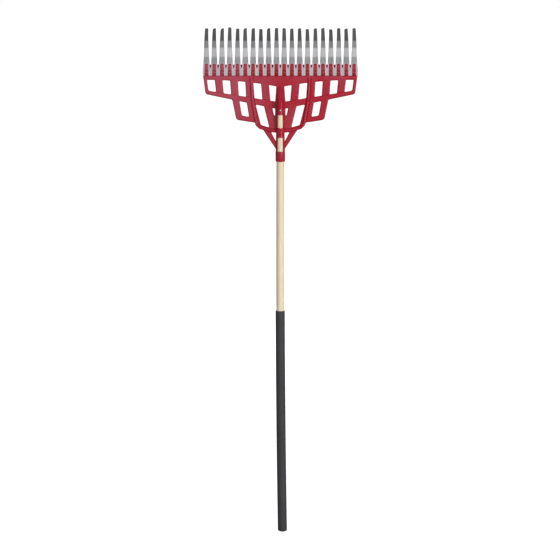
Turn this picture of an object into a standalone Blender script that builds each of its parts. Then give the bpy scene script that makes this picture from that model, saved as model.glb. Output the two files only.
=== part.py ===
"""Leaf rake with a moulded nylon head, twenty spring-steel tines and a wooden pole.

The rake stands upright, head at the top: +Z runs up the pole, X across the head,
and the tines curl towards +Y. The origin is on the pole's axis, level with the
place under the fork where the two prongs of a tool hook carry the rake.
Sizes are in millimetres and angles in degrees; meshes are made in metres.
"""
import math

import bmesh
import bpy
from mathutils import Matrix, Vector

MM = 0.001
GAP = 0.3                     # air between pieces that touch
SEGMENTS = 32                 # round pieces

# Heights along the pole, from its butt
HOOK_HEIGHT = 1560
POLE_TOP = 1710
GRIP_TOP = 903
RING_BOTTOM, RING_TOP = 1497, 1536
CONE_TOP = 1730
SCREW_HEIGHT = 1698

# Pole and grip
POLE_RADIUS = 15
POLE_TOP_RADIUS = 11.5
POLE_TAPER_FROM = 1540
POLE_CHAMFER = 2
GRIP_RADIUS = 18.6
GRIP_WALL = 3.3
GRIP_VENT_RADIUS = 4

# Head plane: leans back from the pole, and meets its axis at the socket ring
HEAD_TILT = 7
BAR_HEIGHT = 1828.5           # datum edge: the tines' bends are measured from it
BAR_SETBACK = 36              # the same edge, behind the pole's axis
BAR_HALF_WIDTH = 302.5
BAR_LEAD = 2.4                # its front face stands this far past the datum edge
BAR_THICK = 16
BAR_END_DEPTH, BAR_MIDDLE_EXTRA = 14.6, 28.4
BAR_CURVE_END = 290           # its rear edge is curved between the two places this far out
LATTICE_THICK = 12
WINDOW_CORNER = 4

# Socket
SOCKET_WALL = 2.9
RING_WALL = 3.4
BORE_CLEARANCE = 0.4
WINDOW_HALF_WIDTH = 11.4
LOWER_WINDOW = (1537, 1591)
UPPER_WINDOW = (1629, 1680)

# Tines, as flat blanks measured from the bar's datum edge
TINE_COUNT = 20
TINE_PITCH = 30.44
TINE_THICK = 1.0
TAB_DEPTH = 10
NOTCH_START, NOTCH_RADIUS = 33, 3
BENDS = ((49, 15), (77, -13), (112, 18), (143, 30))      # place, turn away from the front
BEND_HALF_WIDTHS = (12.0, 10.9, 9.4, 8.2)
TINE_END, TIP_HALF_WIDTH, TIP_CORNER = 226, 6.4, 4.5
PEG_PLACE, PEG_RADIUS = 17, 2.5

# Fingers over the tines, and the lip under them
FINGER_ROOT, FINGER_LENGTH = 5, 49
FINGER_HALF_WIDTH, FINGER_TIP_HALF_WIDTH = 8.4, 7.2
FINGER_HEIGHT, FINGER_TIP_HEIGHT = 7, 3.2
FINGER_WEDGE_START = 24
LIP_THICK, LIP_REACH = 6, 46

# Screw
SCREW_HEAD_RADIUS, SCREW_HEAD_HEIGHT = 3.6, 2.3
SCREW_SHANK_RADIUS, SCREW_LENGTH = 1.9, 22


def head_matrix():
    """Head coordinates (x, towards the tips, towards the front) to the rake's own, in metres."""
    tilt = math.radians(HEAD_TILT)
    up = Vector((0, math.sin(tilt), math.cos(tilt)))
    front = Vector((0, -math.cos(tilt), math.sin(tilt)))
    origin = Vector((0, BAR_SETBACK, BAR_HEIGHT - HOOK_HEIGHT)) * MM
    rows = [(1 if i == 0 else 0, up[i], front[i], origin[i]) for i in range(3)]
    return Matrix(rows + [(0, 0, 0, 1)])


def material(name, colour, roughness, metallic=0.0):
    finish = bpy.data.materials.new(name)
    finish.use_nodes = True
    shader = finish.node_tree.nodes["Principled BSDF"]
    shader.inputs["Base Color"].default_value = (*colour, 1)
    shader.inputs["Roughness"].default_value = roughness
    shader.inputs["Metallic"].default_value = metallic
    return finish


def new_object(name, mesh, collection):
    thing = bpy.data.objects.new(name, mesh)
    collection.objects.link(thing)
    return thing


def rounded(corners, segments=3):
    """Outline with each corner (x, y, radius) turned into an arc."""
    outline = []
    for i, (x, y, radius) in enumerate(corners):
        here = Vector((x, y))
        if radius == 0:
            outline.append(here)
            continue
        before = (Vector(corners[i - 1][:2]) - here).normalized()
        after = (Vector(corners[(i + 1) % len(corners)][:2]) - here).normalized()
        half = before.angle(after) / 2
        start = here + before * radius / math.tan(half)
        centre = here + (before + after).normalized() * radius / math.sin(half)
        sweep = math.pi - 2 * half
        turn = -1 if before.cross(after) > 0 else 1
        for k in range(segments + 1):
            spin = Matrix.Rotation(turn * sweep * k / segments, 2)
            outline.append(centre + spin @ (start - centre))
    return outline


def flat_piece(name, outlines, low, high):
    """Plate between two levels, from a closed outline and the outlines of its holes."""
    curve = bpy.data.curves.new(name, "CURVE")
    curve.dimensions = "2D"
    curve.fill_mode = "BOTH"
    curve.extrude = (high - low) / 2 * MM
    for outline in outlines:
        spline = curve.splines.new("POLY")
        spline.points.add(len(outline) - 1)
        for point, (x, y) in zip(spline.points, outline):
            point.co = (x * MM, y * MM, 0, 1)
        spline.use_cyclic_u = True
    carrier = new_object(name, curve, CUTTERS)
    bpy.context.view_layer.update()
    mesh = bpy.data.meshes.new_from_object(carrier.evaluated_get(bpy.context.evaluated_depsgraph_get()))
    bpy.data.objects.remove(carrier)
    shape = bmesh.new()
    shape.from_mesh(mesh)
    bmesh.ops.remove_doubles(shape, verts=shape.verts, dist=1e-6)
    bmesh.ops.translate(shape, verts=shape.verts, vec=(0, 0, (low + high) / 2 * MM))
    shape.to_mesh(mesh)
    shape.free()
    return mesh


def turned_piece(name, profile, smooth_angle=40):
    """Solid of revolution about +Z from (radius, height) points, top to bottom on the outside."""
    mesh = bpy.data.meshes.new(name)
    line = bmesh.new()
    points = [line.verts.new((radius * MM, 0, height * MM)) for radius, height in profile]
    for i, point in enumerate(points):
        after = points[(i + 1) % len(points)]
        if profile[i][0] or profile[(i + 1) % len(points)][0]:
            line.edges.new((point, after))
    line.to_mesh(mesh)
    line.free()
    turned = new_object(name, mesh, CUTTERS)
    screw = turned.modifiers.new("Turn", "SCREW")
    screw.steps = screw.render_steps = SEGMENTS
    screw.use_merge_vertices = True
    screw.merge_threshold = 0.00001
    return applied(turned, smooth_angle)


def applied(thing, smooth_angle=None):
    """Mesh of an object with its modifiers applied; the object is removed."""
    bpy.context.view_layer.update()
    mesh = bpy.data.meshes.new_from_object(thing.evaluated_get(bpy.context.evaluated_depsgraph_get()))
    bpy.data.objects.remove(thing)
    if smooth_angle:
        mesh.shade_smooth()
        mesh.set_sharp_from_angle(angle=math.radians(smooth_angle))
    return mesh


def box(name, low, high):
    mesh = bpy.data.meshes.new(name)
    shape = bmesh.new()
    size = Vector(high) - Vector(low)
    centre = (Vector(high) + Vector(low)) / 2
    place = Matrix.Translation(centre * MM) @ Matrix.Diagonal((*(size * MM), 1))
    bmesh.ops.create_cube(shape, size=1, matrix=place)
    shape.to_mesh(mesh)
    shape.free()
    return mesh


def join(piece, operation, mesh):
    """Booleans of a piece with a mesh that is in the piece's own coordinates."""
    tool = new_object(mesh.name, mesh, CUTTERS)
    tool.matrix_world = piece.matrix_world
    change = piece.modifiers.new(operation.title(), "BOOLEAN")
    change.operation = operation
    change.object = tool
    bpy.context.view_layer.update()
    result = bpy.data.meshes.new_from_object(piece.evaluated_get(bpy.context.evaluated_depsgraph_get()))
    piece.modifiers.clear()
    piece.data = result
    bpy.data.objects.remove(tool)


# ---- Head ----

def bar_depth(x):
    """Depth of the bar: deepest in the middle, flat towards its ends."""
    return BAR_END_DEPTH + BAR_MIDDLE_EXTRA * (1 - min(abs(x), BAR_CURVE_END) / BAR_CURVE_END) ** 2


class Line:
    """Straight edge through two (x, depth below the bar's datum edge) points."""

    def __init__(self, first, second):
        self.first, self.second = Vector(first), Vector(second)

    def meet(self, other):
        along, across = self.second - self.first, other.second - other.first
        share = (other.first - self.first).cross(across) / along.cross(across)
        return self.first + along * share

    def at_depth(self, depth):
        return self.meet(Line((0, depth), (1, depth)))


RIB_1_TOP = Line((276.9, 57.3), (20, 98.5))
RIB_1_UNDER = Line((282.3, 72.4), (30.7, 124.8))
RIB_2_TOP = Line((148.2, 154), (122.6, 158.4))
RIB_3_TOP = Line((75.1, 190.6), (43.4, 200.4))

# Outer and inner side of each window between the bar and rib 1
UPPER_WINDOWS = (
    (Line((286.7, 14.6), (282.3, 49)), Line((257.4, 14.6), (251.6, 63))),
    (Line((226.2, 16.3), (221.3, 68.3)), Line((197, 17.5), (193.1, 71.9))),
    (Line((165.8, 20), (162.3, 77.3)), Line((137.7, 20.5), (134.3, 81.4))),
    (Line((105.3, 26), (100.7, 85.3)), Line((75.6, 31), (70.7, 90.7))),
    (Line((43.9, 35.8), (38.5, 96.8)), Line((15.8, 39.5), (20.2, 98))),
)
# The same under rib 1, with the rib that closes each window below
LOWER_WINDOWS = (
    (Line((159.2, 101), (151.9, 144)), Line((131.6, 105), (122.6, 158.4)), RIB_2_TOP),
    (Line((95.8, 112), (77.5, 184.5)), Line((64.1, 118), (43.4, 200.4)), RIB_3_TOP),
)


def head_outline():
    """Outline from the right end of the bar down to the fork, and the same mirrored."""
    right = [
        (BAR_HALF_WIDTH, -BAR_LEAD, 0), (293.2, 70.2, 12), (188.5, 91.9, 4), (172.5, 170.5, 13),
        (97.6, 182.2, 3), (92, 197, 6), (84, 203.6, 6), (68.5, 208.5, 4), (17.5, 285, 0)]
    left = [(-x, depth, radius) for x, depth, radius in reversed(right)]
    return [(x, -depth) for x, depth in rounded(right + left)]


def head_windows():
    """Outlines of the windows of the right half."""
    windows = []
    for outer, inner in UPPER_WINDOWS:
        top_outer = outer.at_depth(bar_depth(outer.first.x))
        top_inner = inner.at_depth(bar_depth(inner.first.x))
        windows.append([top_outer, outer.meet(RIB_1_TOP), inner.meet(RIB_1_TOP), top_inner])
    for outer, inner, under in LOWER_WINDOWS:
        windows.append([outer.meet(RIB_1_UNDER), outer.meet(under),
                        inner.meet(under), inner.meet(RIB_1_UNDER)])
    windows = [[(*corner, WINDOW_CORNER) for corner in window] for window in windows]
    spine_gap = [(30.7, 124.8, 1.5), (24.2, 152.8, 1), (21, 152.8, 1), (21, 126.6, 1.5)]
    fork_gap = [(35.5, 219, 2), (16.5, 256, 1), (12, 256, 1), (12, 221.5, 1)]
    return [rounded(window) for window in windows + [spine_gap, fork_gap]]


def both_sides(outlines):
    right = [[(x, -depth) for x, depth in outline] for outline in outlines]
    left = [[(-x, y) for x, y in reversed(outline)] for outline in right]
    return right + left


def bar_mesh():
    """Front bar, thicker than the lattice, with its curved rear edge."""
    steps = 12
    xs = [BAR_HALF_WIDTH - 1.2 - (BAR_HALF_WIDTH - 1.2) * i / steps for i in range(2 * steps + 1)]
    rear = [(x, -bar_depth(x) + 0.5) for x in xs]
    front = [(-BAR_HALF_WIDTH, BAR_LEAD), (BAR_HALF_WIDTH, BAR_LEAD)]
    return flat_piece("bar", [front + rear], -BAR_THICK / 2, BAR_THICK / 2)


def finger_mesh(x):
    """Finger that clamps one tine: straight sides, a bullet tip and a top that falls to it."""
    tip = FINGER_LENGTH - FINGER_TIP_HALF_WIDTH
    side = [(x + FINGER_HALF_WIDTH, -FINGER_ROOT), (x + FINGER_TIP_HALF_WIDTH, tip)]
    arc = [math.pi * k / 6 for k in range(1, 6)]
    nose = [(x + FINGER_TIP_HALF_WIDTH * math.cos(a), tip + FINGER_TIP_HALF_WIDTH * math.sin(a))
            for a in arc]
    other = [(x - FINGER_TIP_HALF_WIDTH, tip), (x - FINGER_HALF_WIDTH, -FINGER_ROOT)]
    under = TINE_THICK / 2 + GAP
    mesh = flat_piece("finger", [side + nose + other], under, FINGER_HEIGHT)
    shape = bmesh.new()
    shape.from_mesh(mesh)
    fall = (FINGER_HEIGHT - FINGER_TIP_HEIGHT) / (FINGER_LENGTH - FINGER_WEDGE_START)
    cut = bmesh.ops.bisect_plane(
        shape, geom=shape.verts[:] + shape.edges[:] + shape.faces[:], clear_outer=True,
        plane_co=(0, FINGER_WEDGE_START * MM, FINGER_HEIGHT * MM), plane_no=(0, fall, 1))
    edges = [item for item in cut["geom_cut"] if isinstance(item, bmesh.types.BMEdge)]
    bmesh.ops.holes_fill(shape, edges=edges)
    shape.to_mesh(mesh)
    shape.free()
    return mesh


def peg_mesh(x):
    """Peg under a finger that stands through the hole of its tine."""
    low, high = -TINE_THICK / 2 - GAP / 2, TINE_THICK / 2 + GAP + 1
    mesh = bpy.data.meshes.new("peg")
    shape = bmesh.new()
    place = Matrix.Translation(Vector((x, PEG_PLACE, (low + high) / 2)) * MM)
    bmesh.ops.create_cone(shape, cap_ends=True, segments=12, radius1=PEG_RADIUS * MM,
                          radius2=PEG_RADIUS * MM, depth=(high - low) * MM, matrix=place)
    shape.to_mesh(mesh)
    shape.free()
    return mesh


def bore_radius(height):
    """Radius of the pole at a height: straight, then tapered inside the socket."""
    share = max(0, (height - POLE_TAPER_FROM) / (POLE_TOP - POLE_TAPER_FROM))
    return POLE_RADIUS - (POLE_RADIUS - POLE_TOP_RADIUS) * share + BORE_CLEARANCE


def socket_mesh():
    """Tapered socket with its ring at the mouth."""
    ring = POLE_RADIUS + BORE_CLEARANCE + RING_WALL
    profile = [(0, CONE_TOP), (bore_radius(CONE_TOP) + SOCKET_WALL, CONE_TOP),
               (bore_radius(RING_TOP) + SOCKET_WALL, RING_TOP),
               (ring, RING_TOP - 0.8), (ring, RING_BOTTOM), (0, RING_BOTTOM)]
    return turned_piece("socket", [(r, h - HOOK_HEIGHT) for r, h in profile])


def nose_mesh():
    """Closed end of the socket, running back into the spine under the bar."""
    top_radius = bore_radius(CONE_TOP) + SOCKET_WALL
    shape = bmesh.new()
    foot = Matrix.Translation(Vector((0, 0, CONE_TOP - 0.5 - HOOK_HEIGHT)) * MM)
    bmesh.ops.create_circle(shape, segments=SEGMENTS, radius=top_radius * MM, matrix=foot)
    back = Matrix.Translation(Vector((0, 22, CONE_TOP - 30 - HOOK_HEIGHT)) * MM)
    bmesh.ops.create_circle(shape, segments=SEGMENTS, radius=11 * MM, matrix=back)
    crest = Matrix.Translation(Vector((0, 25, BAR_HEIGHT - 44 - HOOK_HEIGHT)) * MM)
    bmesh.ops.create_circle(shape, segments=SEGMENTS, radius=10 * MM,
                            matrix=crest @ Matrix.Rotation(math.radians(75), 4, "X"))
    hull = bmesh.ops.convex_hull(shape, input=shape.verts[:])
    inside = [v for v in hull["geom_interior"] if isinstance(v, bmesh.types.BMVert)]
    bmesh.ops.delete(shape, geom=inside, context="VERTS")
    bmesh.ops.recalc_face_normals(shape, faces=shape.faces[:])
    mesh = bpy.data.meshes.new("nose")
    shape.to_mesh(mesh)
    shape.free()
    return mesh


def bore_mesh():
    """Room for the pole, open at the mouth of the socket."""
    top = POLE_TOP + GAP
    profile = [(0, top), (bore_radius(top) - POLE_CHAMFER, top), (bore_radius(top), top - POLE_CHAMFER),
               (bore_radius(POLE_TAPER_FROM), POLE_TAPER_FROM),
               (bore_radius(POLE_TAPER_FROM), RING_BOTTOM - 5), (0, RING_BOTTOM - 5)]
    return turned_piece("bore", [(r, h - HOOK_HEIGHT) for r, h in profile])


def rake_head():
    """One moulding: lattice, bar, lip, fingers with their pegs, and the socket."""
    place = head_matrix()
    outlines = [head_outline()] + both_sides(head_windows())
    lattice = flat_piece("lattice", outlines, -LATTICE_THICK / 2, LATTICE_THICK / 2)
    head = new_object("rake_head", lattice, RAKE)
    join(head, "UNION", bar_mesh())
    lip_top = -TINE_THICK / 2 - GAP
    lip = box("lip", (-BAR_HALF_WIDTH, -FINGER_ROOT, lip_top - LIP_THICK),
              (BAR_HALF_WIDTH, LIP_REACH, lip_top))
    join(head, "UNION", lip)
    slot_half = TINE_THICK / 2 + GAP
    slot = box("slot", (-BAR_HALF_WIDTH - 5, -TAB_DEPTH - GAP, -slot_half),
               (BAR_HALF_WIDTH + 5, 5, slot_half))
    join(head, "DIFFERENCE", slot)
    for x in tine_places():
        join(head, "UNION", finger_mesh(x))
        join(head, "UNION", peg_mesh(x))
    windows = [box("window", (-WINDOW_HALF_WIDTH, -30, low - HOOK_HEIGHT),
                   (WINDOW_HALF_WIDTH, -4, high - HOOK_HEIGHT))
               for low, high in (LOWER_WINDOW, UPPER_WINDOW)]
    openings = [bore_mesh()] + windows + [screw_hole_mesh("screw_hole", SCREW_SHANK_RADIUS + GAP)]
    steps = [("UNION", mesh) for mesh in (nose_mesh(), socket_mesh())]
    steps += [("DIFFERENCE", mesh) for mesh in openings]
    for operation, mesh in steps:
        mesh.transform(place.inverted())
        join(head, operation, mesh)
    head.data.transform(place)
    head.data.materials.append(material("nylon_crimson", (0.40, 0.02, 0.05), 0.4))
    return head


# ---- Tines ----

def tine_places():
    return [(i - (TINE_COUNT - 1) / 2) * TINE_PITCH for i in range(TINE_COUNT)]


def tine_blank():
    """Flat blank: broad base, notches at the shoulders, a blade that narrows to its tip."""
    base = TINE_PITCH / 2 - GAP / 2
    notch_low = [(TINE_PITCH / 2 - NOTCH_RADIUS * math.sin(a),
                  NOTCH_START + NOTCH_RADIUS * (1 - math.cos(a)))
                 for a in (math.radians(15), math.radians(40), math.radians(65), math.radians(90))]
    side = [(base, -TAB_DEPTH), (base, NOTCH_START)] + notch_low
    side += [(width, bend) for (bend, _), width in zip(BENDS, BEND_HALF_WIDTHS)]
    tip = rounded([(TIP_HALF_WIDTH, TINE_END - 20, 0), (TIP_HALF_WIDTH, TINE_END, TIP_CORNER),
                   (-TIP_HALF_WIDTH, TINE_END, TIP_CORNER), (-TIP_HALF_WIDTH, TINE_END - 20, 0)])[1:-1]
    outline = side + [tuple(point) for point in tip] + [(-x, y) for x, y in reversed(side)]
    hole = [((PEG_RADIUS + GAP) * math.cos(a), PEG_PLACE + (PEG_RADIUS + GAP) * math.sin(a))
            for a in (math.tau * k / 12 for k in range(12))]
    return flat_piece("tine", [outline, hole], -TINE_THICK / 2, TINE_THICK / 2)


def bend(shape, place, turn):
    """Folds everything past a bend line, with the section on the line mitred."""
    bmesh.ops.bisect_plane(shape, geom=shape.verts[:] + shape.edges[:] + shape.faces[:],
                           plane_co=(0, place * MM, 0), plane_no=(0, 1, 0), dist=1e-6)
    for verts, angle in (
            ([v for v in shape.verts if v.co.y > place * MM + 1e-5], turn),
            ([v for v in shape.verts if abs(v.co.y - place * MM) <= 1e-5], turn / 2)):
        bmesh.ops.rotate(shape, verts=verts, cent=(0, place * MM, 0),
                         matrix=Matrix.Rotation(math.radians(-angle), 3, "X"))


def tine_mesh():
    mesh = tine_blank()
    shape = bmesh.new()
    shape.from_mesh(mesh)
    for place, turn in reversed(BENDS):
        bend(shape, place, turn)
    shape.to_mesh(mesh)
    shape.free()
    mesh.transform(head_matrix())
    mesh.materials.append(material("spring_steel", (0.42, 0.42, 0.41), 0.35, 1.0))
    return mesh


def tines():
    mesh = tine_mesh()
    for number, x in enumerate(tine_places(), 1):
        tine = new_object(f"tine_{number:02d}", mesh, RAKE)
        tine.location.x = x * MM


# ---- Pole, grip and screw ----

def screw_hole_mesh(name, radius):
    """Cylinder along Y at the screw's place, from in front of the socket into the pole."""
    mesh = bpy.data.meshes.new(name)
    shape = bmesh.new()
    face = -bore_radius(SCREW_HEIGHT) - SOCKET_WALL
    low, high = face - 5, face + SCREW_LENGTH + 1
    place = (Matrix.Translation(Vector((0, (low + high) / 2, SCREW_HEIGHT - HOOK_HEIGHT)) * MM)
             @ Matrix.Rotation(math.radians(90), 4, "X"))
    bmesh.ops.create_cone(shape, cap_ends=True, segments=16, radius1=radius * MM, radius2=radius * MM,
                          depth=(high - low) * MM, matrix=place)
    shape.to_mesh(mesh)
    shape.free()
    return mesh


def handle_pole():
    butt = GRIP_WALL + GAP
    profile = [(0, POLE_TOP), (POLE_TOP_RADIUS - POLE_CHAMFER, POLE_TOP),
               (POLE_TOP_RADIUS, POLE_TOP - POLE_CHAMFER), (POLE_RADIUS, POLE_TAPER_FROM),
               (POLE_RADIUS, butt + 5), (13.2, butt + 1.5), (9, butt), (0, butt)]
    mesh = turned_piece("pole", [(r, h - HOOK_HEIGHT) for r, h in profile])
    pole = new_object("handle_pole", mesh, RAKE)
    join(pole, "DIFFERENCE", screw_hole_mesh("pilot_hole", SCREW_SHANK_RADIUS + GAP))
    pole.data.materials.append(material("ash_wood", (0.72, 0.58, 0.40), 0.5))


def grip_sleeve():
    """Vinyl sleeve: plain tube with a domed end that has a small vent."""
    inside = GRIP_RADIUS - GRIP_WALL
    profile = [(GRIP_RADIUS - 0.8, GRIP_TOP), (GRIP_RADIUS, GRIP_TOP - 1), (GRIP_RADIUS, 7),
               (17.2, 3.4), (14, 1.2), (9, 0.2), (GRIP_VENT_RADIUS, 0),
               (GRIP_VENT_RADIUS, GRIP_WALL - 0.2), (9.2, GRIP_WALL - 0.2), (13.5, GRIP_WALL + 1),
               (inside, GRIP_WALL + 4.8), (inside, GRIP_TOP)]
    mesh = turned_piece("grip", [(r, h - HOOK_HEIGHT) for r, h in profile])
    mesh.materials.append(material("vinyl_charcoal", (0.05, 0.05, 0.05), 0.5))
    new_object("grip_sleeve", mesh, RAKE)


def socket_screw():
    """Pan-head screw through the front of the socket into the pole."""
    face = bore_radius(SCREW_HEIGHT) + SOCKET_WALL + GAP
    head, shank = SCREW_HEAD_RADIUS, SCREW_SHANK_RADIUS
    profile = [(0, SCREW_HEAD_HEIGHT), (head * 0.5, SCREW_HEAD_HEIGHT - 0.1),
               (head * 0.85, SCREW_HEAD_HEIGHT - 0.7), (head, SCREW_HEAD_HEIGHT - 1.6), (head, 0),
               (shank, 0), (shank, 4 - SCREW_LENGTH), (0, -SCREW_LENGTH)]
    mesh = turned_piece("screw", profile)
    mesh.transform(Matrix.Translation(Vector((0, -face, SCREW_HEIGHT - HOOK_HEIGHT)) * MM)
                   @ Matrix.Rotation(math.radians(90), 4, "X"))
    mesh.materials.append(material("zinc_steel", (0.6, 0.6, 0.6), 0.3, 1.0))
    new_object("socket_screw", mesh, RAKE)


for old in list(bpy.data.objects):
    bpy.data.objects.remove(old)
RAKE = bpy.data.collections.new("leaf_rake")
CUTTERS = bpy.data.collections.new("cutters")
for group in (RAKE, CUTTERS):
    bpy.context.scene.collection.children.link(group)

rake_head()
tines()
handle_pole()
grip_sleeve()
socket_screw()
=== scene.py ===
import math
import random

import bmesh
import bpy
from mathutils import Matrix, Vector


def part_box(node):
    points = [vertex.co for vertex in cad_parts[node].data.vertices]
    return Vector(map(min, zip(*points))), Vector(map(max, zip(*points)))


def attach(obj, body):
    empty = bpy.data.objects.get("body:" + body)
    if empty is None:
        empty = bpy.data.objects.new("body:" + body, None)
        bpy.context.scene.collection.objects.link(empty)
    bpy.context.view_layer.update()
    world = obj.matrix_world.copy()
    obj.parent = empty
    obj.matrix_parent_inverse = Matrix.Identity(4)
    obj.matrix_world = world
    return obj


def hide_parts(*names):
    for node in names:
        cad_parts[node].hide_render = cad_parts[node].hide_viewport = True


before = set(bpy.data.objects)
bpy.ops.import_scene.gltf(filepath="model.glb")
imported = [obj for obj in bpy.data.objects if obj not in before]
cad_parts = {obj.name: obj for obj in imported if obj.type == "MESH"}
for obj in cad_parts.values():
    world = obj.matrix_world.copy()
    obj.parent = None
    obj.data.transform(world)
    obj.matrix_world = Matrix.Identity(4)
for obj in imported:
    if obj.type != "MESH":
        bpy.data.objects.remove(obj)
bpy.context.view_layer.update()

MM = 0.001


# ---- Nylon for the head ----
# Crimson nylon 6, coloured through and not painted, with the fine spark texture of its mould.
# The colour drifts a little at random. It is also painted paler towards the left and the ends of the
# head and deeper in the middle, a painted sheen and a painted shade.

class Wire:
    """The output of a node, on which Python's operators add the Math nodes."""

    def __init__(self, tree, output):
        self.tree, self.output = tree, output

    def maths(self, operation, first, second):
        node = self.tree.nodes.new("ShaderNodeMath")
        node.operation = operation
        for socket, value in zip(node.inputs, (first, second)):
            connect(self.tree, socket, value)
        return Wire(self.tree, node.outputs[0])

    def __add__(self, other):
        return self.maths("ADD", self, other)

    def __mul__(self, other):
        return self.maths("MULTIPLY", self, other)

    def __sub__(self, other):
        return self.maths("SUBTRACT", self, other)

    def __rsub__(self, other):
        return self.maths("SUBTRACT", other, self)

    __radd__, __rmul__ = __add__, __mul__


def connect(tree, socket, value):
    if isinstance(value, Wire):
        tree.links.new(value.output, socket)
    else:
        socket.default_value = value


class Nodes:
    """A node tree being filled; node() adds any node, set up first and then wired."""

    def __init__(self, tree):
        self.tree = tree

    def node(self, kind, settings=None, sockets=None, output=0):
        node = self.tree.nodes.new(kind)
        for key, value in (settings or {}).items():
            if key == "stops":
                ramp = node.color_ramp.elements
                while len(ramp) < len(value):
                    ramp.new(0.5)
                for stop, (position, colour) in zip(ramp, value):
                    stop.position, stop.color = position, (*colour, 1)
            else:
                setattr(node, key, value)
        for key, value in (sockets or {}).items():
            connect(self.tree, node.inputs[key], value)
        return Wire(self.tree, node.outputs[output]) if node.outputs else None


class Finish(Nodes):
    """A material being mixed, from textures on Object coordinates in metres."""

    def __init__(self, name, **uniform):
        self.material = bpy.data.materials.new(name)
        self.material.use_nodes = True
        super().__init__(self.material.node_tree)
        self.shader = self.tree.nodes["Principled BSDF"]
        self.place = self.node("ShaderNodeTexCoord", output="Object")
        self.set(**uniform)

    def stretched(self, x, y, z):
        """Object coordinates multiplied along each axis."""
        return self.node("ShaderNodeMapping", None, {"Vector": self.place, "Scale": (x, y, z)})

    def noise(self, where, scale=1.0, detail=3.0):
        return self.node("ShaderNodeTexNoise", None,
                         {"Vector": where, "Scale": scale, "Detail": detail})

    def blend(self, share, first, second):
        """Colour between two colours."""
        return self.node("ShaderNodeMix", {"data_type": "RGBA"}, {0: share, 6: first, 7: second}, 2)

    def bump(self, height, distance, strength=1.0):
        return self.node("ShaderNodeBump", None,
                         {"Height": height, "Distance": distance, "Strength": strength})

    def set(self, **sockets):
        for socket, value in sockets.items():
            connect(self.tree, self.shader.inputs[socket.replace("_", " ")], value)
        return self.material


# CRIMSON is the paler colour that carries the painted sheen, CRIMSON_DEEP the deeper one that carries
# the painted shade; both also mix at random
CRIMSON = (0.405, 0.048, 0.082, 1)
CRIMSON_DEEP = (0.375, 0.007, 0.023, 1)

nylon = Finish("crimson_nylon", IOR=1.5, Specular_IOR_Level=0.22)
across = nylon.node("ShaderNodeSeparateXYZ", None, {"Vector": nylon.place}, "X")
flow = nylon.noise(nylon.place, 9.0, 2.0)
# random tone from flow, plus a painted sheen, paler to the left and at the ends, and a painted shade,
# deeper in the middle
random_tone_and_painted_light = 0.25 + (flow - 0.5) * 1.8 - across * 2.4 + across * across * 10.0
grit = nylon.noise(nylon.place, 1400.0, 2.0)
crimson_nylon = nylon.set(
    Base_Color=nylon.blend(random_tone_and_painted_light, CRIMSON_DEEP, CRIMSON),
    Roughness=0.13 + flow * 0.08 + grit * 0.06,
    Normal=nylon.bump(grit, 0.00003, 0.5))


# ---- Head lattice ----
# One flat fan: ten arms and three ribs run from the deep front bar down to the fork.
# All its edges are well rounded, so the arms look almost like flattened rods.

HEAD_TILT = math.radians(7)
BAR_SETBACK = 36 * MM
BAR_ABOVE_MOUTH = 331.5 * MM          # the bar's datum edge, above the socket's mouth
BAR_LEAD = 2.4                        # its front face stands this far past that edge
LATTICE_BACK, LATTICE_FRONT = -6, 7.2
EDGE_ROUND, EDGE_STEEP = 4.1, 1.5     # width of a rounded edge, and how much deeper than wide it is
BAR_END_DEPTH, BAR_MIDDLE_EXTRA = 14.6, 28.4
BAR_STRAIGHT = 290

head_low, head_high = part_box("rake_head")
MOUTH = head_low.z
BAR_HALF_WIDTH = head_high.x / MM


def head_place():
    """From (across, towards the tips, towards the front) in metres to the rake's own frame."""
    up = Vector((0, math.sin(HEAD_TILT), math.cos(HEAD_TILT)))
    front = Vector((0, -math.cos(HEAD_TILT), math.sin(HEAD_TILT)))
    origin = Vector((0, BAR_SETBACK, MOUTH + BAR_ABOVE_MOUTH))
    rows = [(1 if i == 0 else 0, up[i], front[i], origin[i]) for i in range(3)]
    return Matrix(rows + [(0, 0, 0, 1)])


HEAD = head_place()


def bar_depth(x):
    """The bar is deepest in the middle and has straight ends."""
    return BAR_END_DEPTH + BAR_MIDDLE_EXTRA * (1 - min(abs(x), BAR_STRAIGHT) / BAR_STRAIGHT) ** 2


def rounded(corners, segments=5):
    """Outline with every (x, y, radius) corner turned into an arc, unless its radius is 0."""
    outline = []
    for i, (x, y, radius) in enumerate(corners):
        here = Vector((x, y))
        if radius == 0:
            outline.append(here)
            continue
        before = (Vector(corners[i - 1][:2]) - here).normalized()
        after = (Vector(corners[(i + 1) % len(corners)][:2]) - here).normalized()
        half = before.angle(after) / 2
        start = here + before * radius / math.tan(half)
        centre = here + (before + after).normalized() * radius / math.sin(half)
        turn = -1 if before.cross(after) > 0 else 1
        for k in range(segments + 1):
            spin = Matrix.Rotation(turn * (math.pi - 2 * half) * k / segments, 2)
            outline.append(centre + spin @ (start - centre))
    return outline


def crossing(first, second):
    """Where two straight edges meet; each is a pair of (x, depth) points."""
    (a, b), (c, d) = [[Vector(point) for point in edge] for edge in (first, second)]
    return a + (b - a) * (c - a).cross(d - c) / (b - a).cross(d - c)


def evaluated(carrier):
    """A new mesh with what the object's curve or modifiers make."""
    bpy.context.view_layer.update()
    return bpy.data.meshes.new_from_object(
        carrier.evaluated_get(bpy.context.evaluated_depsgraph_get()))


def made_mesh(curve):
    """Mesh of a curve, through an object that is then removed."""
    carrier = bpy.data.objects.new(curve.name, curve)
    bpy.context.scene.collection.objects.link(carrier)
    mesh = evaluated(carrier)
    bpy.data.objects.remove(carrier)
    return mesh


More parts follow.
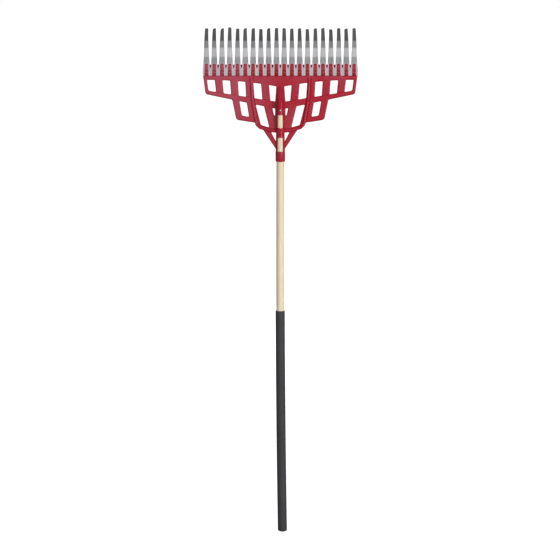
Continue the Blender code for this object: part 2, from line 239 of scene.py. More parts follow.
def plate(name, outlines, low, high, edge, steep=1.0, steps=5):
    """Flat plate from closed outlines in millimetres, its rounded edges steep times as deep as wide."""
    curve = bpy.data.curves.new(name, "CURVE")
    curve.dimensions, curve.fill_mode = "2D", "BOTH"
    curve.extrude = ((high - low) / 2 / steep - edge) * MM
    curve.bevel_depth, curve.offset = edge * MM, -edge * MM
    curve.bevel_resolution = steps
    for outline in outlines:
        spline = curve.splines.new("POLY")
        spline.points.add(len(outline) - 1)
        for point, (x, y) in zip(spline.points, outline):
            point.co = (x * MM, y * MM, 0, 1)
        spline.use_cyclic_u = True
    shape = bmesh.new()
    shape.from_mesh(made_mesh(curve))
    bmesh.ops.remove_doubles(shape, verts=shape.verts, dist=1e-6)
    bmesh.ops.scale(shape, verts=shape.verts, vec=(1, 1, steep))
    bmesh.ops.translate(shape, verts=shape.verts, vec=(0, 0, (low + high) / 2 * MM))
    return shape


CREASE_RADIUS, CREASE_LEVEL = 2.4, 8.3
CREASE_ENDS = ((257, 60.5), (24, 97.9))
RIB_1_TOP = ((276.9, 57.3), (20, 98.5))
RIB_1_UNDER = ((282.3, 72.4), (30.7, 124.8))
RIB_2_TOP = ((148.2, 154), (122.6, 158.4))
RIB_3_TOP = ((75.1, 190.6), (43.4, 200.4))
# Outer side, inner side, and the lower outer corner's radius of each window under the bar
UPPER_WINDOWS = (
    (((286.7, 14.6), (282.3, 49)), ((257.4, 14.6), (251.6, 63)), 9),
    (((226.2, 16.3), (221.3, 68.3)), ((197, 17.5), (193.1, 71.9)), 4),
    (((165.8, 20), (162.3, 77.3)), ((137.7, 20.5), (134.3, 81.4)), 3),
    (((105.3, 26), (100.7, 85.3)), ((75.6, 31), (70.7, 90.7)), 4),
    (((43.9, 35.8), (38.5, 96.8)), ((15.8, 39.5), (20.2, 98)), 3),
)
# The two windows under the first rib, each with the rib below it
LOWER_WINDOWS = (
    (((159.2, 101), (151.9, 144)), ((131.6, 105), (122.6, 158.4)), RIB_2_TOP, 8),
    (((95.8, 112), (77.5, 184.5)), ((64.1, 118), (43.4, 200.4)), RIB_3_TOP, 7),
)
SPINE_GAP = ((30.7, 124.8, 2), (24.4, 152.8, 1), (20.6, 152.8, 1), (20.6, 126.8, 2))
FORK_GAP = ((35.5, 219, 2), (16.5, 256, 1), (12, 256, 1), (12, 221.5, 1))
OUTLINE = (
    (BAR_HALF_WIDTH, -BAR_LEAD, 5), (293.2, 70.2, 13), (188.5, 91.9, 5), (172.5, 170.5, 14),
    (97.6, 182.2, 3), (92, 197, 7), (84, 203.6, 8), (68.5, 208.5, 5), (17.5, 285, 5),
)


def window_outlines():
    for outer, inner, low_radius in UPPER_WINDOWS:
        tops = [crossing(side, ((0, bar_depth(side[0][0])), (1, bar_depth(side[0][0]))))
                for side in (outer, inner)]
        yield rounded([(*tops[0], 2.5), (*crossing(outer, RIB_1_TOP), low_radius),
                       (*crossing(inner, RIB_1_TOP), 2.5), (*tops[1], 2.5)])
    for outer, inner, under, low_radius in LOWER_WINDOWS:
        yield rounded([(*crossing(outer, RIB_1_UNDER), 2.5), (*crossing(outer, under), low_radius),
                       (*crossing(inner, under), 3), (*crossing(inner, RIB_1_UNDER), 2.5)])
    yield rounded(SPINE_GAP)
    yield rounded(FORK_GAP)


def lattice():
    left = [(-x, depth, radius) for x, depth, radius in reversed(OUTLINE)]
    outlines = [[(x, -depth) for x, depth in rounded(list(OUTLINE) + left)]]
    for window in window_outlines():
        outlines.append([(x, -depth) for x, depth in window])
        outlines.append([(-x, -depth) for x, depth in reversed(window)])
    return plate("lattice", outlines, LATTICE_BACK, LATTICE_FRONT, EDGE_ROUND, EDGE_STEEP)


def rod(radius, low, high, place, segments=24):
    """Cylinder along its own Z between two levels."""
    shape = bmesh.new()
    bmesh.ops.create_cone(shape, cap_ends=True, segments=segments, radius1=radius * MM,
                          radius2=radius * MM, depth=(high - low) * MM,
                          matrix=place @ Matrix.Translation((0, 0, (low + high) / 2 * MM)))
    return shape


def crease(side):
    """Round-bottomed groove where the arms meet the first rib."""
    start, end = [Vector((side * x, -depth, CREASE_LEVEL)) * MM for x, depth in CREASE_ENDS]
    turn = (end - start).to_track_quat("Z", "Y").to_matrix().to_4x4()
    length = (end - start).length / MM
    return rod(CREASE_RADIUS, 0, length, Matrix.Translation(start) @ turn, 16)


# ---- Bead of the inner loop ----
# A flattened bead stands on the lattice. It follows the inner loop from the bar,
# down the fourth arm, round the corner and into the socket along the third rib.

# Corners of its centre line: across, depth and the bend's radius
BEAD_PATH = ((114, 6, 0), (109.5, 90, 60), (92, 189, 12), (78, 201.5, 10), (40, 211.5, 30),
             (8, 214.5, 0))
# Radius, flattening and level of the bead, and of the channel that sinks the surface beside it
BEAD = (6.2, 0.88, 5.0)
CHANNEL = (9.0, 0.52, 8.6)


def swept(side, radius, flatten, level):
    """Round bar with closed ends along the bead's route, flattened and set at its level."""
    route = rounded([(x, -depth, bend) for x, depth, bend in BEAD_PATH], 8)
    curve = bpy.data.curves.new("bead", "CURVE")
    curve.dimensions, curve.bevel_depth, curve.bevel_resolution = "3D", radius * MM, 6
    curve.use_fill_caps = True
    spline = curve.splines.new("POLY")
    spline.points.add(len(route) - 1)
    for point, (x, y) in zip(spline.points, route):
        point.co = (side * x * MM, y * MM, 0, 1)
    shape = bmesh.new()
    shape.from_mesh(made_mesh(curve))
    bmesh.ops.remove_doubles(shape, verts=shape.verts, dist=1e-6)
    bmesh.ops.scale(shape, verts=shape.verts, vec=(1, 1, flatten))
    bmesh.ops.translate(shape, verts=shape.verts, vec=(0, 0, level * MM))
    bmesh.ops.recalc_face_normals(shape, faces=shape.faces[:])
    return shape


# ---- Bar, lip, fingers and pegs ----
# The bar takes the tabs of the tines in a slot. A finger lies on each tine and a lip runs
# under them all; a peg below each finger stands through the hole of its tine.

TINE_COUNT = sum(name.startswith("tine_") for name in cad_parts)
TINE_PITCH = (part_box("tine_02")[0].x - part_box("tine_01")[0].x) / MM
TINE_THICK, GAP = 1.0, 0.3
SLOT_HALF = TINE_THICK / 2 + GAP              # half the thickness of the space that a tine lies in
BAR_BACK, BAR_EDGE = -8, 1.6
BAR_STEPS = 24
LIP_THICK, LIP_REACH = 6, 46
POCKET_LOW, POCKET_HIGH, POCKET_HALF_WIDTH, POCKET_DEPTH = 31, 45, 3.6, 5
SLOT_DEPTH = 10.3
FINGER_ROOT, FINGER_LENGTH = 5, 49.5
FINGER_HALF_WIDTH, FINGER_TIP_HALF_WIDTH = 8.4, 7.2
FINGER_TOP, FINGER_TIP_HEIGHT = 7.6, 4.9
GROOVES = ((0.8, 3.8, 4.4), (8.0, 2.8, 6.0), (19.2, 2.8, 6.2))      # place, half length, depth
GROOVE_FLOOR = 0.45                           # share of a groove that is flat
WEDGE_START = 25
NOSE_LENGTH, NOSE_DROP = 5, 3.8
FINGER_BLUNT, FINGER_SQUARE = 2.6, 0.42       # how square its tip and its section are
PEG_PLACE, PEG_RADIUS = 17, 2.5


def smooth_step(low, high, value):
    share = min(1, max(0, (value - low) / (high - low)))
    return share * share * (3 - 2 * share)


def finger_half_width(v):
    arch = FINGER_LENGTH - FINGER_TIP_HALF_WIDTH
    if v > arch:
        reach = (v - arch) / FINGER_TIP_HALF_WIDTH
        return FINGER_TIP_HALF_WIDTH * max(0.01, 1 - reach ** FINGER_BLUNT) ** (1 / FINGER_BLUNT)
    return FINGER_HALF_WIDTH + (FINGER_TIP_HALF_WIDTH - FINGER_HALF_WIDTH) * max(0, v) / arch


def finger_height(v):
    height = FINGER_TOP
    for place, half, depth in GROOVES:
        height -= depth * (1 - smooth_step(half * GROOVE_FLOOR, half, abs(v - place)))
    fall = (FINGER_TOP - FINGER_TIP_HEIGHT) * max(0, v - WEDGE_START) / (FINGER_LENGTH - WEDGE_START)
    nose = NOSE_DROP * smooth_step(FINGER_LENGTH - NOSE_LENGTH, FINGER_LENGTH, v)
    return height - fall - nose


def finger(x):
    """Bullet-shaped finger with a rounded section, three grooves and a top that falls to its tip."""
    shape = bmesh.new()
    bmesh.ops.create_grid(shape, x_segments=14, y_segments=70, size=1)
    for vert in shape.verts:
        along = 1 - (1 - (vert.co.y + 1) / 2) ** 1.25      # rows are closer together at the tip
        v = -FINGER_ROOT + (FINGER_ROOT + FINGER_LENGTH) * along
        angle = math.pi * (1 - (vert.co.x + 1) / 2)
        across = math.copysign(abs(math.cos(angle)) ** FINGER_SQUARE, math.cos(angle))
        rise = abs(math.sin(angle)) ** FINGER_SQUARE
        height = SLOT_HALF + (finger_height(v) - SLOT_HALF) * rise
        vert.co = Vector((x + finger_half_width(v) * across, v, height)) * MM
    rim = [edge for edge in shape.edges if edge.is_boundary]
    bmesh.ops.contextual_create(shape, geom=rim)
    bmesh.ops.recalc_face_normals(shape, faces=shape.faces[:])
    return shape


def block(low, high, round_edges=0.0):
    """Box between two corners, with its edges rounded."""
    shape = bmesh.new()
    low, high = Vector(low) * MM, Vector(high) * MM
    bmesh.ops.create_cube(shape, size=1, matrix=Matrix.Translation((low + high) / 2)
                          @ Matrix.Diagonal((*(high - low), 1)))
    if round_edges:
        bmesh.ops.bevel(shape, geom=shape.edges[:], offset=round_edges * MM, segments=3,
                        profile=0.5, affect="EDGES", material=-1)
    return shape


def tine_places():
    return [(i - (TINE_COUNT - 1) / 2) * TINE_PITCH for i in range(TINE_COUNT)]


def bar_back():
    """The bar is a little thicker than the lattice, towards the back."""
    half = BAR_HALF_WIDTH - 1.5
    places = [half - 2 * half * i / BAR_STEPS for i in range(BAR_STEPS + 1)]
    rear = [(x, 1.5 - bar_depth(x)) for x in places]
    front = [(-half, BAR_LEAD - 0.6), (half, BAR_LEAD - 0.6)]
    return plate("bar_back", [front + rear], BAR_BACK, LATTICE_FRONT - 4, BAR_EDGE, steps=3)


def pocket(x):
    """Blind pocket in the lip, behind the notch between two tines."""
    return block((x - POCKET_HALF_WIDTH, POCKET_LOW, -SLOT_HALF - POCKET_DEPTH),
                 (x + POCKET_HALF_WIDTH, POCKET_HIGH, 1 - SLOT_HALF), 1.0)


# ---- Socket ----
# A tapered tube takes the pole, with a ring at its mouth and openings left by the mould's cores.
# Its closed end runs down into the lattice in a blunt nose.

POLE_RADIUS = 15
POLE_TOP_RADIUS, POLE_TAPER = 11.5, 170       # at the pole's top, and the taper's length
BORE_CLEARANCE = 0.4
POLE_CHAMFER = 2
SOCKET_WALL, RING_WALL = 2.9, 3.4
RING_LENGTH = 39
WINDOW_HALF_WIDTH = 11.4
SOCKET_WINDOWS = ((40, 94), (132, 183))       # above the mouth
CONE_LENGTH = 233
TOE_DEPTH, TOE_RADIUS = 40, 15              # where the socket's end runs out on the spine
SCREW_ABOVE_MOUTH = 201
POLE_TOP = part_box("handle_pole")[1].z


def bore_radius(z):
    """Radius of the bore at a level, in millimetres."""
    share = max(0, 1 - (POLE_TOP - z) / MM / POLE_TAPER)
    return POLE_RADIUS - (POLE_RADIUS - POLE_TOP_RADIUS) * share + BORE_CLEARANCE


def turned(profile, segments=64):
    """Solid turned about Z from (radius in mm, height in m) points, from the top down."""
    shape = bmesh.new()
    points = [shape.verts.new((radius * MM, 0, z)) for radius, z in profile]
    edges = [shape.edges.new(pair) for pair in zip(points, points[1:])]
    bmesh.ops.spin(shape, geom=points + edges, cent=(0, 0, 0), axis=(0, 0, 1), steps=segments,
                   angle=math.tau, use_merge=True)
    bmesh.ops.remove_doubles(shape, verts=shape.verts, dist=1e-6)
    bmesh.ops.recalc_face_normals(shape, faces=shape.faces[:])
    return shape


def socket_body():
    top, ring = MOUTH + CONE_LENGTH * MM, MOUTH + RING_LENGTH * MM
    ring_radius = POLE_RADIUS + BORE_CLEARANCE + RING_WALL
    return turned([
        (0, top), (bore_radius(top) + SOCKET_WALL, top),
        (bore_radius(ring) + SOCKET_WALL, ring + 0.2 * MM), (ring_radius - 0.6, ring),
        (ring_radius, ring - 0.8 * MM), (ring_radius, MOUTH + 1.2 * MM),
        (ring_radius - 0.4, MOUTH + 0.3 * MM), (ring_radius - 1.2, MOUTH), (0, MOUTH)])


def socket_nose():
    """Blunt end of the socket, from its top down to a round toe on the lattice."""
    top = MOUTH + CONE_LENGTH * MM
    toe = HEAD @ Matrix.Translation(Vector((0, -TOE_DEPTH - TOE_RADIUS, LATTICE_FRONT - 0.4)) * MM)
    radius = bore_radius(top) + SOCKET_WALL
    # Radius and place of each ring that it is stretched over; the last one is sunk behind the bore
    rings = ((radius, Matrix.Translation((0, 0, top - 0.5 * MM))),
             (radius - 0.7, Matrix.Translation((0, 1.2 * MM, top + 5 * MM))),
             (TOE_RADIUS - 1.5, toe @ Matrix.Translation((0, 0, 1.5 * MM))),
             (TOE_RADIUS, toe), (TOE_RADIUS, toe @ Matrix.Translation((0, 0, -4 * MM))),
             (11, Matrix.Translation((0, 22 * MM, top - 30 * MM))))
    shape = bmesh.new()
    for size, place in rings:
        bmesh.ops.create_circle(shape, segments=48, radius=size * MM, matrix=place)
    hull = bmesh.ops.convex_hull(shape, input=shape.verts[:])
    loose = [item for item in hull["geom_interior"] if isinstance(item, bmesh.types.BMVert)]
    bmesh.ops.delete(shape, geom=loose, context="VERTS")
    bmesh.ops.recalc_face_normals(shape, faces=shape.faces[:])
    return shape


def bore():
    top = POLE_TOP + GAP * MM
    full = POLE_TOP - POLE_TAPER * MM
    return turned([(0, top), (bore_radius(top) - POLE_CHAMFER, top),
                   (bore_radius(top), top - POLE_CHAMFER * MM),
                   (bore_radius(full), full), (bore_radius(full), MOUTH + 1.5 * MM),
                   (bore_radius(full) + 1.2, MOUTH - 0.4 * MM), (0, MOUTH - 0.4 * MM)])


# ---- The head put together ----
# The moulding is one piece, so its forms are joined and then opened for the pole,
# the tines and the screw.

def as_mesh(name, shape):
    mesh = bpy.data.meshes.new(name)
    shape.to_mesh(mesh)
    shape.free()
    return mesh


def new_piece(name, shape, place=None):
    """Object at the origin that holds the shape, moved to its place."""
    if place:
        bmesh.ops.transform(shape, matrix=place, verts=shape.verts)
    piece = bpy.data.objects.new(name, as_mesh(name, shape))
    bpy.context.scene.collection.objects.link(piece)
    return piece


def combine(piece, operation, shape, place=None):
    tool = new_piece("tool", shape, place)
    change = piece.modifiers.new("Join", "BOOLEAN")
    change.operation, change.object, change.solver = operation, tool, "EXACT"
    result = evaluated(piece)
    piece.modifiers.clear()
    piece.data = result
    bpy.data.objects.remove(tool)


def finish_piece(piece, material, slot, *nodes, smooth=35):
    """Shading, finish and the frame's bookkeeping of a finished piece."""
    piece.data.materials.clear()
    piece.data.materials.append(material)
    piece.data.shade_smooth()
    piece.data.set_sharp_from_angle(angle=math.radians(smooth))
    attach(piece, "root")
    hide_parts(*nodes)


def gathered(shapes):
    """Several shapes that don't touch, as one."""
    whole = bmesh.new()
    for shape in shapes:
        whole.from_mesh(as_mesh("part", shape))
    return whole


def on_head(x, v):
    return Matrix.Translation((x * MM, v * MM, 0))


head = new_piece("head_moulding", lattice())
combine(head, "UNION", bar_back())
combine(head, "DIFFERENCE", gathered(crease(side) for side in (1, -1)))
combine(head, "UNION", block((-BAR_HALF_WIDTH, -FINGER_ROOT, -SLOT_HALF - LIP_THICK),
                             (BAR_HALF_WIDTH, LIP_REACH, -SLOT_HALF), 1.0))
combine(head, "DIFFERENCE", gathered(swept(side, *CHANNEL) for side in (1, -1)))
combine(head, "UNION", gathered(swept(side, *BEAD) for side in (1, -1)))
combine(head, "DIFFERENCE", block((-BAR_HALF_WIDTH - 5, -SLOT_DEPTH, -SLOT_HALF),
                                  (BAR_HALF_WIDTH + 5, BAR_LEAD + 5, SLOT_HALF)))
combine(head, "DIFFERENCE", gathered(pocket(x + TINE_PITCH / 2) for x in tine_places()[:-1]))
combine(head, "UNION", gathered(finger(x) for x in tine_places()))
combine(head, "UNION", gathered(
    rod(PEG_RADIUS, GAP / 2 - SLOT_HALF, SLOT_HALF + 1, on_head(x, PEG_PLACE)) for x in tine_places()))
head.data.transform(HEAD)
combine(head, "UNION", socket_nose())
combine(head, "UNION", socket_body())
combine(head, "DIFFERENCE", bore())
for low, high in SOCKET_WINDOWS:
    combine(head, "DIFFERENCE", block((-WINDOW_HALF_WIDTH, -30, MOUTH / MM + low),
                                      (WINDOW_HALF_WIDTH, -4, MOUTH / MM + high)))


# ---- Tines ----
# Each tine is a strip of galvanised spring steel, blanked with a broad base and then
# bent four times. No two are bent, twisted or trimmed quite alike.

BASE_HALF_WIDTH = TINE_PITCH / 2 - GAP / 2
TAB_DEPTH = 10
NOTCH_START, NOTCH_RADIUS = 33, 3
BENDS = ((49, 15), (77, -13), (112, 18), (143, 30))                # place along the strip, degrees
BLADE_WIDTHS = ((36, 12.2), (49, 12.0), (77, 10.9), (112, 9.4), (143, 8.2), (226, 6.4))
TINE_END = 226
BEND_REACH = 3.2                     # half the length of a bend
TIP_ROUND, TIP_FLAT, TIP_BLUNT = 6.5, 0.32, 2.6
CROWN, CROWN_EDGE = 0.25, 3          # the blade curls away along its edges
FAN = 0.006                          # sideways reach of a tip, as a share of its tine's place

STEEL = (0.53, 0.525, 0.54, 1)
STEEL_DULL = (0.39, 0.39, 0.405, 1)

steel = Finish("galvanised_spring_steel", Metallic=1.0)
rolled = steel.noise(steel.stretched(900, 30, 30))
patches = steel.noise(steel.place, 55.0)
batch = steel.noise(steel.stretched(38, 4, 4), 1.0, 1.0)      # differs from tine to tine
bright = patches * 0.4 + rolled * 0.3 + (batch - 0.5) * 1.4 + 0.15
spring_steel = steel.set(
    Base_Color=steel.blend(bright, STEEL_DULL, STEEL),
    Roughness=0.20 + rolled * 0.12 + patches * 0.10,
    Normal=steel.bump(rolled, 0.00008, 0.4))


def blade_half_width(s):
    if s <= NOTCH_START:
        return BASE_HALF_WIDTH
    if s < NOTCH_START + NOTCH_RADIUS:
        left = NOTCH_START + NOTCH_RADIUS - s
        return TINE_PITCH / 2 - math.sqrt(NOTCH_RADIUS ** 2 - left ** 2)
    for (s0, w0), (s1, w1) in zip(BLADE_WIDTHS, BLADE_WIDTHS[1:]):
        if s <= s1:
            return w0 + (w1 - w0) * (s - s0) / (s1 - s0)
    return BLADE_WIDTHS[-1][1]


def tine_stations():
    """Rows along the strip: close at the notch, at the bends and at the tip, wide between them."""
    rows = {-TAB_DEPTH, NOTCH_START, TINE_END}
    rows |= {NOTCH_START + NOTCH_RADIUS * (1 - math.cos(math.pi / 2 * k / 6)) for k in range(1, 7)}
    for place, _ in BENDS:
        rows |= {place + BEND_REACH * k / 4 for k in range(-4, 5)}
    rows |= {TINE_END - TIP_ROUND * (1 - math.sin(math.pi / 2 * k / 8)) for k in range(9)}
    rows |= {-2, 8, 17, 25, 40, 55, 62, 69, 84, 92, 100, 120, 130, 155, 170, 185, 200, 212}
    return sorted(rows)


def tine_blank():
    """Flat strip on a grid, given its thickness, with the hole for the peg cut through."""
    stations = tine_stations()
    shape = bmesh.new()
    bmesh.ops.create_grid(shape, x_segments=10, y_segments=len(stations) - 1, size=1)
    for vert in shape.verts:
        s = stations[round((vert.co.y + 1) / 2 * (len(stations) - 1))]
        vert.co = Vector((vert.co.x * blade_half_width(s), s, 0)) * MM
    bmesh.ops.solidify(shape, geom=shape.faces[:], thickness=TINE_THICK * MM)
    middle = sum(vert.co.z for vert in shape.verts) / len(shape.verts)
    bmesh.ops.translate(shape, verts=shape.verts, vec=(0, 0, -middle))
    bmesh.ops.recalc_face_normals(shape, faces=shape.faces[:])
    blank = new_piece("blank", shape)
    combine(blank, "DIFFERENCE", rod(PEG_RADIUS + GAP, -2, 2, on_head(0, PEG_PLACE)))
    mesh = blank.data
    bpy.data.objects.remove(blank)
    return mesh


def bent(s, depth, turns):
    """Place of a point of the strip after bending: (along the head plane, towards the front)."""
    angle, along, out, at = 0.0, 0.0, 0.0, 0.0
    for (place, _), turn in zip(BENDS, turns):
        start, end, turn = place - BEND_REACH, place + BEND_REACH, math.radians(turn)
        if s <= start:
            break
        along += (start - at) * math.cos(angle)
        out -= (start - at) * math.sin(angle)
        reach = min(s, end) - start
        pieces = max(1, math.ceil(reach))
        for k in range(pieces):
            middle = angle + turn * (k + 0.5) / pieces * reach / (end - start)
            along += reach / pieces * math.cos(middle)
            out -= reach / pieces * math.sin(middle)
        angle += turn * reach / (end - start)
        at = start + reach
    if s > at:
        along += (s - at) * math.cos(angle)
        out -= (s - at) * math.sin(angle)
    return along + depth * math.sin(angle), out + depth * math.cos(angle)


def tine(number, x, blank):
    chance = random.Random(400 + number)
    turns = [turn + chance.uniform(-1.1, 1.1) for _, turn in BENDS]
    twist, lean = chance.uniform(-2.2, 2.2), chance.uniform(-1.0, 1.0) + x * FAN
    trim, slant = chance.uniform(-3.0, 3.0), chance.uniform(-0.1, 0.45)
    shape = bmesh.new()
    shape.from_mesh(blank)
    for vert in shape.verts:
        across, s, depth = vert.co / MM
        u = across / blade_half_width(s)
        depth -= CROWN * smooth_step(NOTCH_START + 4, 75, s) * abs(u) ** CROWN_EDGE
        tip = max(0, s - (TINE_END - TIP_ROUND)) / TIP_ROUND
        across *= max(TIP_FLAT, (1 - tip ** TIP_BLUNT) ** (1 / TIP_BLUNT))
        along, out = bent(s + trim * smooth_step(150, TINE_END, s), depth, turns)
        along += slant * across * smooth_step(TINE_END - 20, TINE_END, s)
        out += math.tan(math.radians(twist)) * across * smooth_step(45, 90, s)
        free = smooth_step(FINGER_LENGTH - 6, TINE_END, s)
        vert.co = Vector((x + across + lean * free, along, out)) * MM
    finish_piece(new_piece(f"steel_tine_{number:02d}", shape, HEAD),
                 spring_steel, "tine_steel", f"tine_{number:02d}", smooth=45)


blank = tine_blank()
for number, x in enumerate(tine_places(), 1):
    tine(number, x, blank)


# ---- Pole ----
# Turned from pale ash and sanded, then sealed. The end inside the socket is tapered.

POLE_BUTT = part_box("handle_pole")[0].z
BOW, BOW_START = 7.2, 5.0            # out of line: mm per metre squared, less mm per metre
BUTT_ROUND = 5                       # rounding of the lower end

WOOD_PALE = (0.88, 0.77, 0.565, 1)
WOOD_DARK = (0.70, 0.565, 0.36, 1)

wood = Finish("sealed_ash", IOR=1.5, Specular_IOR_Level=0.3)
wander = wood.noise(wood.stretched(9, 9, 1.1), 1.0, 2.0)
growth = wood.node("ShaderNodeTexWave", {"wave_type": "BANDS", "bands_direction": "X"},
                   {"Vector": wood.stretched(1, 0.6, 0.012), "Scale": 60.0, "Distortion": 5.0,
                    "Detail": 2.0, "Detail Scale": 0.6})
pores = wood.noise(wood.stretched(1500, 1500, 26))
streaks = wood.noise(wood.stretched(260, 260, 3.5))
grain = growth * 0.35 + streaks * 0.35 + wander * 0.2 - pores * 0.12
sealed_ash = wood.set(
    Base_Color=wood.blend(grain, WOOD_PALE, WOOD_DARK),
    Roughness=0.42 + pores * 0.12,
    Normal=wood.bump(pores * 0.5 + streaks, 0.00010, 0.5))


def pole_shape():
    taper_from = POLE_TOP - POLE_TAPER * MM
    rows = 40
    straight = [(POLE_RADIUS, taper_from + (POLE_BUTT + BUTT_ROUND * MM - taper_from) * k / rows)
                for k in range(rows + 1)]
    dome = [(POLE_RADIUS - BUTT_ROUND * (1 - math.cos(math.radians(a))),
             POLE_BUTT + BUTT_ROUND * MM * (1 - math.sin(math.radians(a)))) for a in range(15, 91, 15)]
    top = [(0, POLE_TOP), (POLE_TOP_RADIUS - POLE_CHAMFER, POLE_TOP),
           (POLE_TOP_RADIUS, POLE_TOP - POLE_CHAMFER * MM)]
    return turned(top + straight + dome + [(0, POLE_BUTT)])


def bowed(shape):
    """The pole has dried a few millimetres out of line below the socket, and takes its grip with it."""
    for vert in shape.verts:
        below = max(0, MOUTH - vert.co.z)
        vert.co.x += (BOW * below ** 2 - BOW_START * below) * MM
    return shape


pole = new_piece("ash_pole", bowed(pole_shape()))


# ---- Fixing screw ----
# A zinc-plated pan-head screw with a cross recess holds the pole in the socket.

SCREW_HEAD_RADIUS, SCREW_HEAD_HEIGHT = 3.6, 2.3
SCREW_SHANK_RADIUS, SCREW_LENGTH = 1.9, 22
THREAD_PITCH, THREAD_DEPTH = 1.4, 0.45
RECESS_REACH, RECESS_HALF_WIDTH, RECESS_DEPTH, RECESS_TURN = 2.2, 0.35, 1.3, 20
SCREW_Z = MOUTH + SCREW_ABOVE_MOUTH * MM
SCREW_FACE = (bore_radius(SCREW_Z) + SOCKET_WALL + GAP) * MM
SCREW_PLACE = Matrix.Translation((0, -SCREW_FACE, SCREW_Z)) @ Matrix.Rotation(math.radians(90), 4, "X")


def screw_shape():
    head, shank, top = SCREW_HEAD_RADIUS, SCREW_SHANK_RADIUS, SCREW_HEAD_HEIGHT * MM
    crown = [(head * math.sin(math.radians(a)), top * (0.3 + 0.7 * math.cos(math.radians(a))))
             for a in range(0, 91, 10)]
    thread = []
    for k in range(int((SCREW_LENGTH - 4) / THREAD_PITCH)):
        z = -(0.5 + k * THREAD_PITCH) * MM
        thread += [(shank - THREAD_DEPTH, z), (shank, z - 0.7 * THREAD_PITCH * MM)]
    point = [(shank - THREAD_DEPTH, -(SCREW_LENGTH - 3) * MM), (0, -SCREW_LENGTH * MM)]
    return turned(crown + [(head, 0)] + thread + point, 40)


zinc = Finish("zinc_plate", Metallic=1.0)
brushed = zinc.noise(zinc.place, 900.0, 2.0)
zinc_plate = zinc.set(
    Base_Color=zinc.blend(brushed, (0.66, 0.66, 0.65, 1), (0.80, 0.80, 0.79, 1)),
    Roughness=0.42 + brushed * 0.16)

for holed in (head, pole):
    combine(holed, "DIFFERENCE", rod(SCREW_SHANK_RADIUS + GAP, -SCREW_LENGTH - 1, 5, SCREW_PLACE))
finish_piece(head, crimson_nylon, "head_plastic", "rake_head")
finish_piece(pole, sealed_ash, "pole_wood", "handle_pole")

screw = new_piece("pan_screw", screw_shape())
for angle in (0, 90):
    arm = block((-RECESS_REACH, -RECESS_HALF_WIDTH, SCREW_HEAD_HEIGHT - RECESS_DEPTH),
                (RECESS_REACH, RECESS_HALF_WIDTH, SCREW_HEAD_HEIGHT + 1))
    combine(screw, "DIFFERENCE", arm, Matrix.Rotation(math.radians(angle + RECESS_TURN), 4, "Z"))
screw.data.transform(SCREW_PLACE)
finish_piece(screw, zinc_plate, "screw_steel", "socket_screw")


# ---- Grip ----
# A long sleeve of charcoal vinyl, pushed on over the butt. Its end is domed,
# with a small vent, and its open rim stands just off the wood.

GRIP_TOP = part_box("grip_sleeve")[1].z
GRIP_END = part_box("grip_sleeve")[0].z
GRIP_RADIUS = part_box("grip_sleeve")[1].x / MM
GRIP_WALL = 3.3
DOME_HEIGHT = 7
VENT_RADIUS = 4

vinyl = Finish("charcoal_vinyl", IOR=1.5, Specular_IOR_Level=0.2)
cloud = vinyl.noise(vinyl.stretched(20, 20, 4))
skin = vinyl.noise(vinyl.place, 700.0, 2.0)
charcoal_vinyl = vinyl.set(
    Base_Color=vinyl.blend(cloud, (0.040, 0.040, 0.043, 1), (0.062, 0.062, 0.066, 1)),
    Roughness=0.46 + cloud * 0.10 + skin * 0.05,
    Normal=vinyl.bump(skin, 0.00006, 0.5))


def grip_shape():
    inside = GRIP_RADIUS - GRIP_WALL
    rows = 30
    low, high = GRIP_END + DOME_HEIGHT * MM, GRIP_TOP - 1.4 * MM
    wall = [(GRIP_RADIUS, high + (low - high) * k / rows) for k in range(rows + 1)]
    rim = [(inside + 0.5, GRIP_TOP), (GRIP_RADIUS - 1.3, GRIP_TOP),
           (GRIP_RADIUS - 0.4, GRIP_TOP - 0.4 * MM)]
    dome = [(VENT_RADIUS + (GRIP_RADIUS - VENT_RADIUS) * math.cos(math.radians(a)),
             GRIP_END + DOME_HEIGHT * MM * (1 - math.sin(math.radians(a)))) for a in range(10, 91, 8)]
    # The inside, from the vent up: (radius, height above the end)
    inner = [(radius, GRIP_END + height * MM) for radius, height in (
        (VENT_RADIUS, 0.2), (VENT_RADIUS, GRIP_WALL - 0.2), (9.2, GRIP_WALL - 0.2),
        (13.5, GRIP_WALL + 1), (inside, GRIP_WALL + 4.8))]
    return turned(rim + wall + dome + inner + [(inside, GRIP_TOP - 0.6 * MM), (inside + 0.5, GRIP_TOP)])


finish_piece(new_piece("vinyl_grip", bowed(grip_shape())), charcoal_vinyl, "grip_vinyl", "grip_sleeve")


# ---- Studio ----
# A pale floor under the rake, an even white room that is darker overhead and behind,
# matt panels in front and behind, and one strip that draws the highlight on round parts.

FLOOR_DROP = 0.25
AIM = Vector((-0.0012, 0, -0.534))
CAMERA_ELEVATION, CAMERA_DISTANCE = math.radians(9), 8.42
CAMERA_LENS, CAMERA_SENSOR = 136.7, 36

scene = bpy.context.scene
scene.view_settings.view_transform = "Standard"

floor_shape = bmesh.new()
bmesh.ops.create_grid(floor_shape, x_segments=1, y_segments=1, size=60,
                      matrix=Matrix.Translation((0, 0, GRIP_END - FLOOR_DROP)))
floor = new_piece("floor", floor_shape)
pale = Finish("pale_floor", Base_Color=(0.35, 0.35, 0.35, 1), Roughness=0.9, Emission_Strength=1.0)
floor.data.materials.append(pale.set(Emission_Color=pale.node("ShaderNodeLightPath") * 0.96))

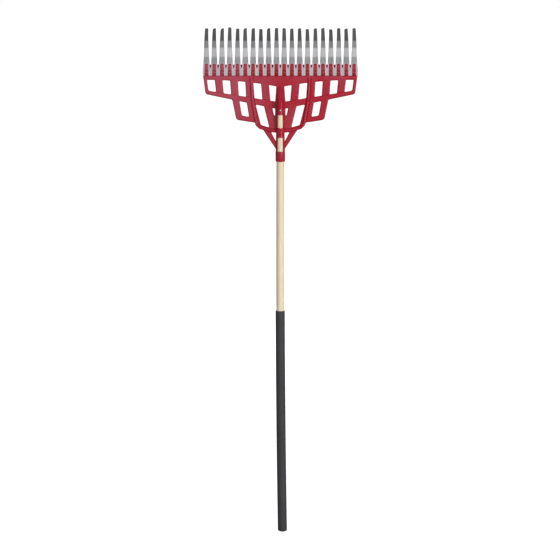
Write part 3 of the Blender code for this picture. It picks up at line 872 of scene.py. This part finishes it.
# Brightness of the room by direction, from straight behind to straight in front
ROOM_STOPS = ((0.0, 0.15), (0.40, 0.18), (0.68, 0.29), (0.85, 0.50), (0.92, 0.64), (1.0, 1.24))
FRONT = Vector((0, -math.cos(math.radians(6)), math.sin(math.radians(6))))

room = bpy.data.worlds.new("room")
scene.world = room
room.use_nodes = True
room.node_tree.nodes.clear()
sky = Nodes(room.node_tree)
direction = sky.node("ShaderNodeTexCoord", output="Generated")
ahead = sky.node("ShaderNodeVectorMath", {"operation": "DOT_PRODUCT"},
                 {0: direction, 1: FRONT}, "Value")
greys = [(place, (grey, grey, grey)) for place, grey in ROOM_STOPS]
level = sky.node("ShaderNodeValToRGB", {"stops": greys}, {0: ahead * 0.5 + 0.5})
seen = sky.node("ShaderNodeLightPath")
shown = sky.node("ShaderNodeMix", {"data_type": "RGBA"}, {0: seen, 6: level, 7: (1, 1, 1, 1)}, 2)
background = sky.node("ShaderNodeBackground", None, {"Color": shown})
sky.node("ShaderNodeOutputWorld", None, {"Surface": background})


def panel(name, place, width, height, power, mirrored=False):
    """Soft panel turned to the rake; only a mirrored one shows in glossy surfaces."""
    light = bpy.data.lights.new(name, "AREA")
    light.shape, light.size, light.size_y, light.energy = "RECTANGLE", width, height, power
    lamp = bpy.data.objects.new(name, light)
    scene.collection.objects.link(lamp)
    lamp.location = place
    lamp.rotation_euler = (Vector((0, 0, -0.4)) - Vector(place)).to_track_quat("-Z", "Y").to_euler()
    lamp.visible_camera, lamp.visible_glossy = False, mirrored


panel("key_panel", (4.1, -4.3, 0.9), 1.6, 3.2, 115)
panel("fill_panel", (-4.1, -4.3, 0.9), 1.6, 3.2, 35)
panel("strip_panel", (3.6, -4.8, -0.1), 0.6, 3.4, 120, mirrored=True)
panel("back_panel", (0.6, 6.5, 0.8), 2.0, 3.2, 170)

camera = bpy.data.objects.new("camera", bpy.data.cameras.new("camera"))
scene.collection.objects.link(camera)
back = Vector((0, -math.cos(CAMERA_ELEVATION), math.sin(CAMERA_ELEVATION)))
camera.location = AIM + back * CAMERA_DISTANCE
camera.rotation_euler = (AIM - camera.location).to_track_quat("-Z", "Y").to_euler()
camera.data.lens, camera.data.sensor_width = CAMERA_LENS, CAMERA_SENSOR
scene.camera = camera
